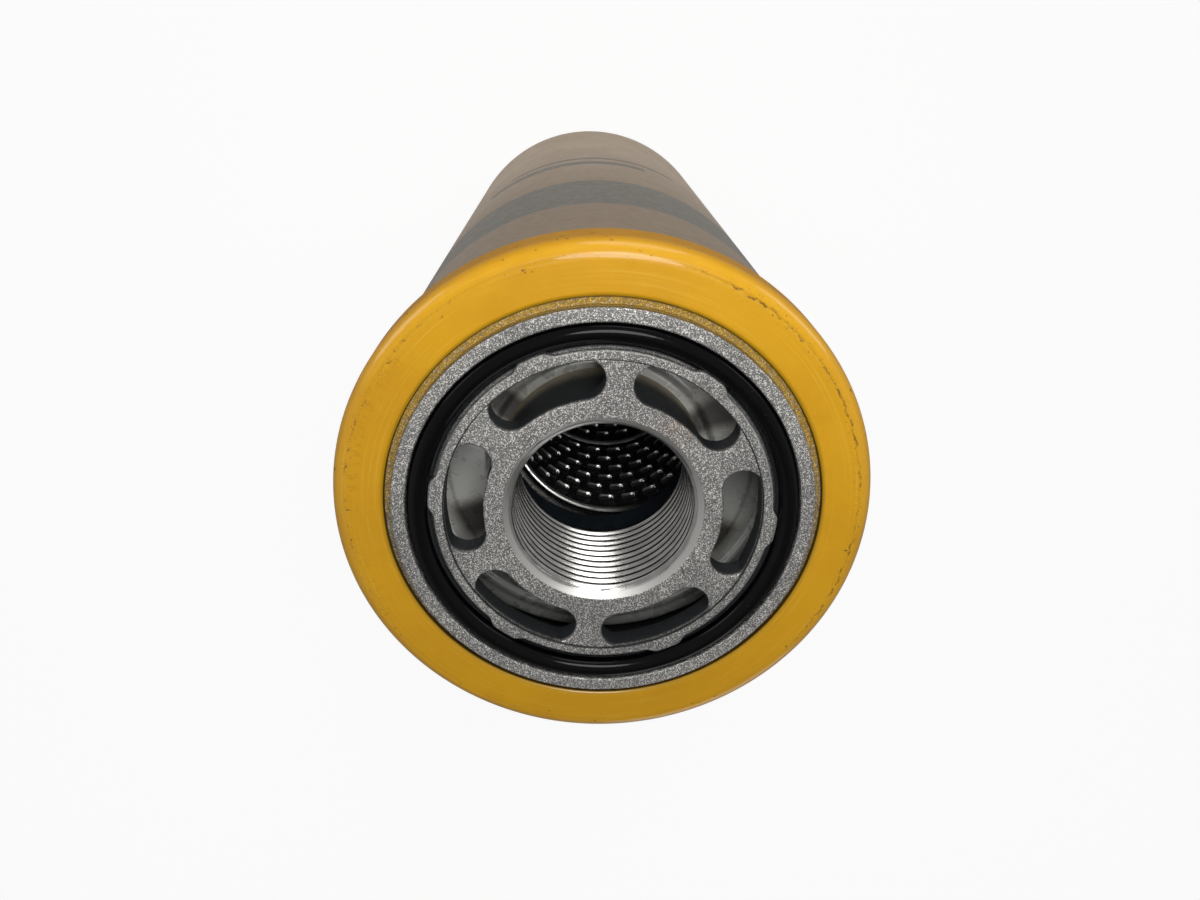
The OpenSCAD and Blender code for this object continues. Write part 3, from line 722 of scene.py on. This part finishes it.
def plate(z, outer, inner, e, clip, flip=False):
    """Flat ring with the slots left out: vertices and triangles."""
    pts, edges = [], []

    def loop(ps):
        s = len(pts)
        pts.extend(ps)
        edges.extend((s + i, s + (i + 1) % len(ps)) for i in range(len(ps)))
    loop(circle(outer, N))
    loop(circle(inner, N))
    for d in SLOTS:
        loop(turn(kidney(e, clip), d))
    vs, _, tris, _, _, _ = delaunay_2d_cdt(pts, edges, [], 0, 1e-6)
    keep = []
    for t in tris:
        cx = sum(vs[i][0] for i in t) / 3
        cy = sum(vs[i][1] for i in t) / 3
        r = math.hypot(cx, cy)
        if r > outer or r < inner or in_slot(cx, cy, e - 1e-4, clip):
            continue
        keep.append(tuple(t)[::-1] if flip else tuple(t))
    return [(v[0], v[1], z) for v in vs], keep


verts, faces = [], []


def add(vs, fs):
    """Adds points and faces to the base plate's."""
    s = len(verts)
    verts.extend([tuple(v) for v in vs])
    faces.extend([tuple(i + s for i in f) for f in fs])


# The slots' walls, from their rounded upper edges down; the rounding starts a little outside each slot
APART, CLIP_APART = EDGE + 0.06, 0.02
WEB_IN, WEB_OUT = SPIGOT_R + 0.8, 29.2
add(*plate(HUB, HUB_OUT, CHAMFER_R, APART, SLOT_OUT + CLIP_APART))
add(*plate(WEB, WEB_OUT, WEB_IN, 0.0, SLOT_OUT, flip=True))
rings = [(APART, HUB, SLOT_OUT + CLIP_APART)]
for i in range(6):
    a = math.radians(90 * i / 5)
    clip = SLOT_OUT + CLIP_APART * (1 - math.sin(a))
    rings.append((EDGE - EDGE * math.sin(a), HUB - EDGE * (1 - math.cos(a)), clip))
rings += [(0.0, z, SLOT_OUT) for z in (HUB - EDGE - 0.1, HUB - 2.4, WEB + 0.2, WEB)]
for d in SLOTS:
    grid = [[(px, py, z) for px, py in turn(kidney(e, clip), d)] for e, z, clip in rings]
    cols = len(grid[0])
    add([ring[i] for i in range(cols) for ring in grid], grid_faces(cols, len(rings)))


def tab_height(t, flat=0.45):
    """A tab's height at t half widths from its middle, from 1 down to 0."""
    t = abs(t)
    if t < flat:
        return 1.0
    return 0.0 if t >= 1 else (1 + math.cos(math.pi * (t - flat) / (1 - flat))) / 2


# The outside, from the step round the hub over the band, the groove, the ring and the flange to the underside
FLANGE_IN, FLANGE_OUT = 45.0, 47.2
outer_low = (
    [(GROOVE_R, GROOVE + 0.3), (GROOVE_R, TOP - 0.7)]
    + arc(GROOVE_R + RING_ROUND, TOP - RING_ROUND, RING_ROUND, 180, 90, 6)
    + [(GROOVE_R + 0.48, TOP), (RING_R - 0.48, TOP)]
    + arc(RING_R - RING_ROUND, TOP - RING_ROUND, RING_ROUND, 90, 0, 6)
    + [(RING_R, TOP - 0.7), (RING_R, LEDGE + 0.3)] + arc(RING_R + 0.25, LEDGE + 0.25, 0.25, 180, 270, 4)
    + [(38.4, LEDGE), (LIP_R + 0.5, LEDGE), (FLANGE_IN, LEDGE)]
    + arc(FLANGE_IN, LEDGE - FLANGE_ROUND, FLANGE_ROUND, 90, 0, 6)
    + [(FLANGE_OUT, 232.0), (FLANGE_OUT, FLANGE + 0.8), (46.4, FLANGE), (37.7, FLANGE)]
    + [(30.8, WEB - 1.6), (WEB_OUT + 0.1, WEB - 0.1), (WEB_OUT, WEB)]
)
columns = []
for i in range(N):
    away = [(360 * i / N - d + 180) % 360 - 180 for d in TABS]
    w = BAND_R + max(tab_height(a / TAB_SPREAD) for a in away) * TAB_H
    foot = max(BAND_R + 0.5, w)
    col = [(HUB_OUT, HUB), (STEP_R - STEP_FILLET, HUB)]
    col += arc(STEP_R - STEP_FILLET, HUB + STEP_FILLET, STEP_FILLET, -90, 0, 3)
    col += arc(STEP_R + STEP_ROUND, BAND - STEP_ROUND, STEP_ROUND, 180, 90, 3)
    col += [(STEP_R + 0.22, BAND), (w - 0.58, BAND)]
    col += arc(w - BAND_ROUND, BAND - BAND_ROUND, BAND_ROUND, 90, 0, 6)
    col += [(w, BAND - 0.62), (w, FOOT + 0.15)]
    col += [(max(w, foot - 0.1), FOOT), (foot, FOOT - 0.12)]
    col += [(foot, GROOVE + 0.3), (foot + 0.3, GROOVE), (GROOVE_R - 0.3, GROOVE)]
    columns.append(col + outer_low)
add(around(columns), grid_faces(N, len(columns[0]), flip=True))
inner = [(CHAMFER_R, HUB), (CHAMFER_R - 0.06, HUB - 0.01), (MOUTH_R, MOUTH_Z)]
shank = (
    [(BORE_R, NOSE_END), (NOSE_R - 0.5, NOSE_END), (NOSE_R, NOSE_END + 0.5), (NOSE_R, SHOULDER)]
    + [(SPIGOT_R, SHOULDER)] + [(SPIGOT_R, SHOULDER + k) for k in (0.2, 4, 8, 12)]
    + arc(WEB_IN, WEB - 0.8, 0.8, 180, 90, 6)
)
for path, flip in ((inner, True), (shank, False)):
    path = supported(path, 0.05)
    add(revolve(path, N), grid_faces(N, len(path), flip=flip))
base_obj = make("base_casting", verts, faces, "housing", slot="cast_aluminium", replaced=("base_plate",), sharp=40)

# ------------------------------------------------------------- port's thread
# One turn's section: share of the pitch and radius
MAJOR = PORT_R - 0.005
marks = [
    (0.0, MINOR), (0.13, MINOR), (0.25, MINOR), (0.28, MINOR + 0.05), (0.36, MINOR + 0.36), (0.46, MINOR + 0.72),
    (0.55, MAJOR - 0.05), (0.59, MAJOR), (0.66, MAJOR), (0.70, MAJOR - 0.05), (0.79, MINOR + 0.72),
    (0.89, MINOR + 0.36), (0.97, MINOR + 0.05),
]
prof = [(s * PITCH, r) for s, r in marks]
NT = 360  # columns round the port
turns = int(25.5 / PITCH) + 3  # enough to pass both ends of the port
rows = [(k * PITCH + s, r) for k in range(turns) for s, r in prof]
MOUTH_SLOPE, END_SLOPE = 1.55, 1.4  # the chamfers at the thread's two ends
tv = []
for i in range(NT):
    a = 2 * math.pi * i / NT
    for s, r in rows:
        z = HUB + PITCH - s - PITCH * (1 - i / NT)
        z = min(MOUTH_Z, max(NOSE_END, z))
        r = min(r, BORE_R) if z < NOSE_END + 0.01 else r
        r = max(r, MOUTH_R - (MOUTH_Z - z) * MOUTH_SLOPE, BORE_R - (z - NOSE_END) * END_SLOPE)
        tv.append((r * math.cos(a), r * math.sin(a), z))
tf = spiral_faces(NT, len(rows), len(prof))
thread_obj = make("port_thread", tv, tf, "housing", slot="cast_aluminium", sharp=50)
machined().on(thread_obj)
casting().on(base_obj)

# ----------------------------------------------------------------------- seals
oring_c = BAND_R + TAB_H + 0.08 + CORD / 2
oring = [(oring_c + r, GROOVE + CORD / 2 + z) for r, z in circle(CORD / 2, 40)]
oring_obj = lathe("o_ring", oring, "housing", n=300, slot="seal_rubber", replaced=("mounting_o_ring",))
rubber("seal_rubber", srgb(2, 2, 3), 0.085, 0.3).on(oring_obj)

# ---------------------------------------------------------------------- spring
# It stands on the can's floor; it is drawn at one length, though in the filter it shortens as the element moves down
RINGS, SIDES = 360, 20  # sections along the wire and points round it
sv = []
for i in range(RINGS + 1):
    t = (2 * DEAD + LIVE) * i / RINGS
    mid = FLOOR_Z + WIRE / 2 + (COIL_H - WIRE) * min(1.0, max(0.0, (t - DEAD) / LIVE))
    for r, z in circle(WIRE / 2, SIDES):
        r += spring_r
        sv.append((r * math.cos(2 * math.pi * t), r * math.sin(2 * math.pi * t), mid + z))
sf = grid_faces(RINGS + 1, SIDES, wrap_u=False, wrap_v=True)
sf += [tuple(range(SIDES)), tuple(RINGS * SIDES + j for j in reversed(range(SIDES)))]
spring_obj = make("coil_spring", sv, sf, "housing", slot="spring_steel", replaced=("element_spring",), sharp=50)
plain("spring_wire", srgb(126, 128, 132), srgb(104, 106, 110), 0.35, 1.0, 1.0).on(spring_obj)
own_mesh(spring_obj)

# ----------------------------------------------------------------- centre tube
# A strip wound into a spiral with a lock seam, and rows of louvres that follow the seam
tube = nodes["centre_tube"]
corners = [tube.matrix_world @ Vector(c) for c in tube.bound_box]
T0, T1 = min(c.z for c in corners) / MM, max(c.z for c in corners) / MM
ALPHA = math.atan(LEAD / (2 * math.pi * TUBE_R))
NC = 288  # columns round the tube
SEAM_DEPTH = 43.4  # how far below TOP the seam is at -90 degrees
# The seam's section across the strip: place and height towards the inside
SEAM = (
    [(-1.6, 0), (-1.2, 0.0), (-0.95, 0.08), (-0.8, 0.3), (-0.75, 0.5)]
    + [(-0.75 * math.cos(math.radians(a)), 0.7 + 0.75 * math.sin(math.radians(a))) for a in range(0, 181, 15)]
    + [(0.75, 0.35), (0.75, 0.03), (0.79, 0.0), (1.6, 0)]
)
GAP = [(1.6 + (LEAD - 3.2) * k / 7, 0) for k in range(1, 7)]
strip = SEAM + GAP


def seam_z(deg):
    """Height of the seam's middle at an angle."""
    return TOP - SEAM_DEPTH + LEAD * (deg + 90) / 360


# The section of all turns, enough to pass both ends of the tube
rows, k = [], -7
while seam_z(0) + LEAD * k < T1 + 3 * LEAD:
    rows += [(LEAD * k + s, h) for s, h in strip]
    k += 1
tv = []
for i in range(NC):
    a = 360 * i / NC
    cos_a, sin_a = math.cos(math.radians(a)), math.sin(math.radians(a))
    for s, h in rows:
        z = seam_z(a) + s
        if z < T0 + 3 or z > T1 - 0.8:
            h = 0
        z = min(T1, max(T0, z))
        tv.append(((TUBE_R - h) * cos_a, (TUBE_R - h) * sin_a, z))


def has_height(quad):
    return max(abs(tv[quad[0]][2] - tv[quad[1]][2]), abs(tv[quad[2]][2] - tv[quad[3]][2])) > 1e-6


tf = [quad for quad in spiral_faces(NC, len(rows), len(strip)) if has_height(quad)]
TUBE_OUT = TUBE_R + TUBE_WALL
shell = [(TUBE_R, T0), (TUBE_OUT, T0), (TUBE_OUT, T1), (TUBE_R, T1)]
for path in zip(shell, shell[1:]):
    s0 = len(tv)
    tv += [tuple(v) for v in revolve(path, NC)]
    tf += grid_faces(NC, 2, start=s0)

# A louvre: places along it, its height there as a share of HIGH, and its fall away from the slit
S = [-2.0, -1.85, -1.65, -1.45, -1.2, -0.6, 0.0, 0.6, 1.2, 1.45, 1.65, 1.85, 2.0]
ARCH = [0.0, 0.30, 0.72, 0.94, 1.0, 1.0, 1.0, 1.0, 1.0, 0.94, 0.72, 0.30, 0.0]
RAMP = [(-0.26, 1.0), (-0.55, 0.97), (-1.2, 0.72), (-2.0, 0.30), (-2.7, 0.0)]
HIGH, SHEET = 1.12, 0.3
PER = 25  # louvres of one row in a turn
ROWS, ROW_STEP, FIRST_ROW = 6, 5.6, 7.1  # rows between two turns of the seam
START_DEG, LAST_DEG = -85.3, 60
SETBACK_LEFT, SETBACK_RIGHT = 0.1, 0.42  # how far inside the louvre's ends its slit ends
slits_v, slits_f = [], []
louvre_v, louvre_f = [], []


def put(out, deg, z0, s, t, h):
    """A point s along and t across the strip from (deg, z0), at height h inside the tube."""
    a = math.radians(deg) + (s * math.cos(ALPHA) - t * math.sin(ALPHA)) / TUBE_R
    r = TUBE_R - h
    out.append((r * math.cos(a), r * math.sin(a), z0 + s * math.sin(ALPHA) + t * math.cos(ALPHA)))


for row in range(ROWS):
    for n in range(-3 * PER, 8 * PER):
        deg = 360 / PER * (n + 0.5 * (row % 2)) + START_DEG
        z0 = seam_z(deg) - FIRST_ROW - ROW_STEP * row
        if z0 < T0 + 6 or z0 > T1 - 3 or deg > LAST_DEG:
            continue
        s0 = len(louvre_v)
        for s, f in zip(S, ARCH):
            h = HIGH * f
            setback = SETBACK_RIGHT if s > 0 else SETBACK_LEFT
            g = np.interp(abs(s) + setback, S[6:] + [9.0], ARCH[6:] + [0.0])
            put(louvre_v, deg, z0, s, 0.0, min(max(0.0, h - 0.05), max(0.0, HIGH * g - SHEET)))
            for t, g in RAMP:
                put(louvre_v, deg, z0, s, t, h * g)
        louvre_f += grid_faces(len(S), len(RAMP) + 1, wrap_u=False, start=s0)
        s0 = len(slits_v)
        for s, f in zip(S, ARCH):
            put(slits_v, deg, z0, s * 0.98, -0.06, max(0.02, HIGH * f - SHEET + 0.03) if f > 0 else 0.02)
            put(slits_v, deg, z0, s * 0.98, 0.05, 0.02)
        slits_f += grid_faces(len(S), 2, wrap_u=False, start=s0)
tube_obj = make("louvred_tube", tv, tf, "element", slot="tube_steel", replaced=("centre_tube",), sharp=42)
louvre_obj = make("louvres", louvre_v, louvre_f, "element", slot="tube_steel", sharp=42)
gloss_black().on(tube_obj, louvre_obj)
slit_obj = make("louvre_openings", slits_v, slits_f, "element", slot="tube_steel", smooth=False)
plain("opening_shadow", srgb(5, 5, 6), srgb(9, 9, 10), 0.9, 0.0, 1.0).on(slit_obj)

# --------------------------------------------- materials of the solids that stay
rubber("can_seal_rubber", srgb(14, 14, 16), 0.35, 0.3).on(nodes["can_seal"])
plated().on(nodes["top_end_cap"], nodes["bottom_end_cap"], nodes["pleat_seam_clip"])
matt_rubber().on(nodes["spigot_grommet"])
woven("wire_mesh", srgb(150, 152, 154), 2.0).on(nodes["inner_wire_mesh"], nodes["outer_wire_mesh"])
plain("fibre_media", srgb(228, 222, 204), srgb(214, 206, 184), 0.9, 0.0, 2.0, 0.05).on(nodes["filter_media"])
plain("adhesive", srgb(92, 86, 80), srgb(72, 68, 64), 0.45, 0.0, 0.6).on(nodes["top_potting"], nodes["bottom_potting"])
plain("glass_cord", srgb(206, 200, 180), srgb(188, 180, 158), 0.7, 0.0, 2.5, 0.08).on(
    *[nodes["binding_band_%d" % k] for k in range(1, 6)])

# ------------------------------------------------------------- floor and light
HALF, DROP = 4, 0.0002  # half of the floor's width and how far it lies under the part, in metres
FLOOR_GLOW, GLOW_SHARE = 1.12, 0.8  # its own light, which only the camera sees
AMBIENT, ROOM_DARK = 0.16, 0.4  # the surroundings as a lamp, and the darkest a reflection of them gets
corners = [(x * HALF, y * HALF, -DROP) for x, y in ((-1, -1), (1, -1), (1, 1), (-1, 1))]
floor_mesh = bpy.data.meshes.new("floor")
floor_mesh.from_pydata(corners, [], [(0, 1, 2, 3)])
floor = bpy.data.objects.new("floor", floor_mesh)
scene.collection.objects.link(floor)
floor_mat = bpy.data.materials.new("pale_floor")
floor_mat.use_nodes = True
nt = floor_mat.node_tree
bsdf = nt.nodes["Principled BSDF"]
bsdf.inputs["Base Color"].default_value = (0.86, 0.86, 0.86, 1)
bsdf.inputs["Roughness"].default_value = 0.9
emit = nt.nodes.new("ShaderNodeEmission")
emit.inputs["Color"].default_value = (1, 1, 1, 1)
emit.inputs["Strength"].default_value = FLOOR_GLOW
paths = nt.nodes.new("ShaderNodeLightPath")
fac = V(nt, paths.outputs["Is Camera Ray"]) * GLOW_SHARE
mixer = nt.nodes.new("ShaderNodeMixShader")
nt.links.new(fac.s, mixer.inputs[0])
nt.links.new(bsdf.outputs[0], mixer.inputs[1])
nt.links.new(emit.outputs[0], mixer.inputs[2])
nt.links.new(mixer.outputs[0], nt.nodes["Material Output"].inputs["Surface"])
floor_mesh.materials.append(floor_mat)

world = bpy.data.worlds.new("world")
scene.world = world
world.use_nodes = True
wt = world.node_tree
bg = wt.nodes["Background"]
bg.inputs["Color"].default_value = (1, 1, 1, 1)
wp = wt.nodes.new("ShaderNodeLightPath")
aim = wt.nodes.new("ShaderNodeSeparateXYZ")
wt.links.new(wt.nodes.new("ShaderNodeTexCoord").outputs["Generated"], aim.inputs[0])
direct = V(wt, wp.outputs["Is Camera Ray"])
mirror = (V(wt, wp.outputs["Is Glossy Ray"]) + V(wt, wp.outputs["Is Transmission Ray"])).op("MINIMUM", 1.0)
room = V(wt, aim.outputs[1]).ramp(-0.75, 0.0, ROOM_DARK, 1.0)
wt.links.new((direct + (1 - direct) * (mirror * room + (1 - mirror) * AMBIENT)).s, bg.inputs["Strength"])


def lamp(name, loc, look, size, watts, color=(1, 1, 1)):
    """A round soft lamp at loc, turned to look."""
    data = bpy.data.lights.new(name, "AREA")
    data.shape = "DISK"
    data.size = size
    data.energy = watts
    data.color = color
    o = bpy.data.objects.new(name, data)
    scene.collection.objects.link(o)
    o.location = loc
    o.visible_camera = False
    o.rotation_mode = "QUATERNION"
    o.rotation_quaternion = (Vector(look) - Vector(loc)).to_track_quat("-Z", "Y")


lamp("key", (0.015, 0.100, 0.40), (0, 0, 0.23), 0.085, 0.285, (1.0, 0.99, 0.97))
lamp("fill", (-1.2, -0.9, 1.3), (0, 0, 0.12), 1.4, 1.5)
lamp("front", (0.5, -1.6, 0.35), (0, 0, 0.12), 1.0, 4)
lamp("rear", (0.3, 1.7, 0.25), (0, 0, 0.06), 1.0, 9)
lamp("rear_left", (-1.6, 0.9, 0.2), (0, 0, 0.10), 0.9, 9)
lamp("rear_right", (1.6, 0.9, 0.2), (0, 0, 0.10), 0.9, 7)
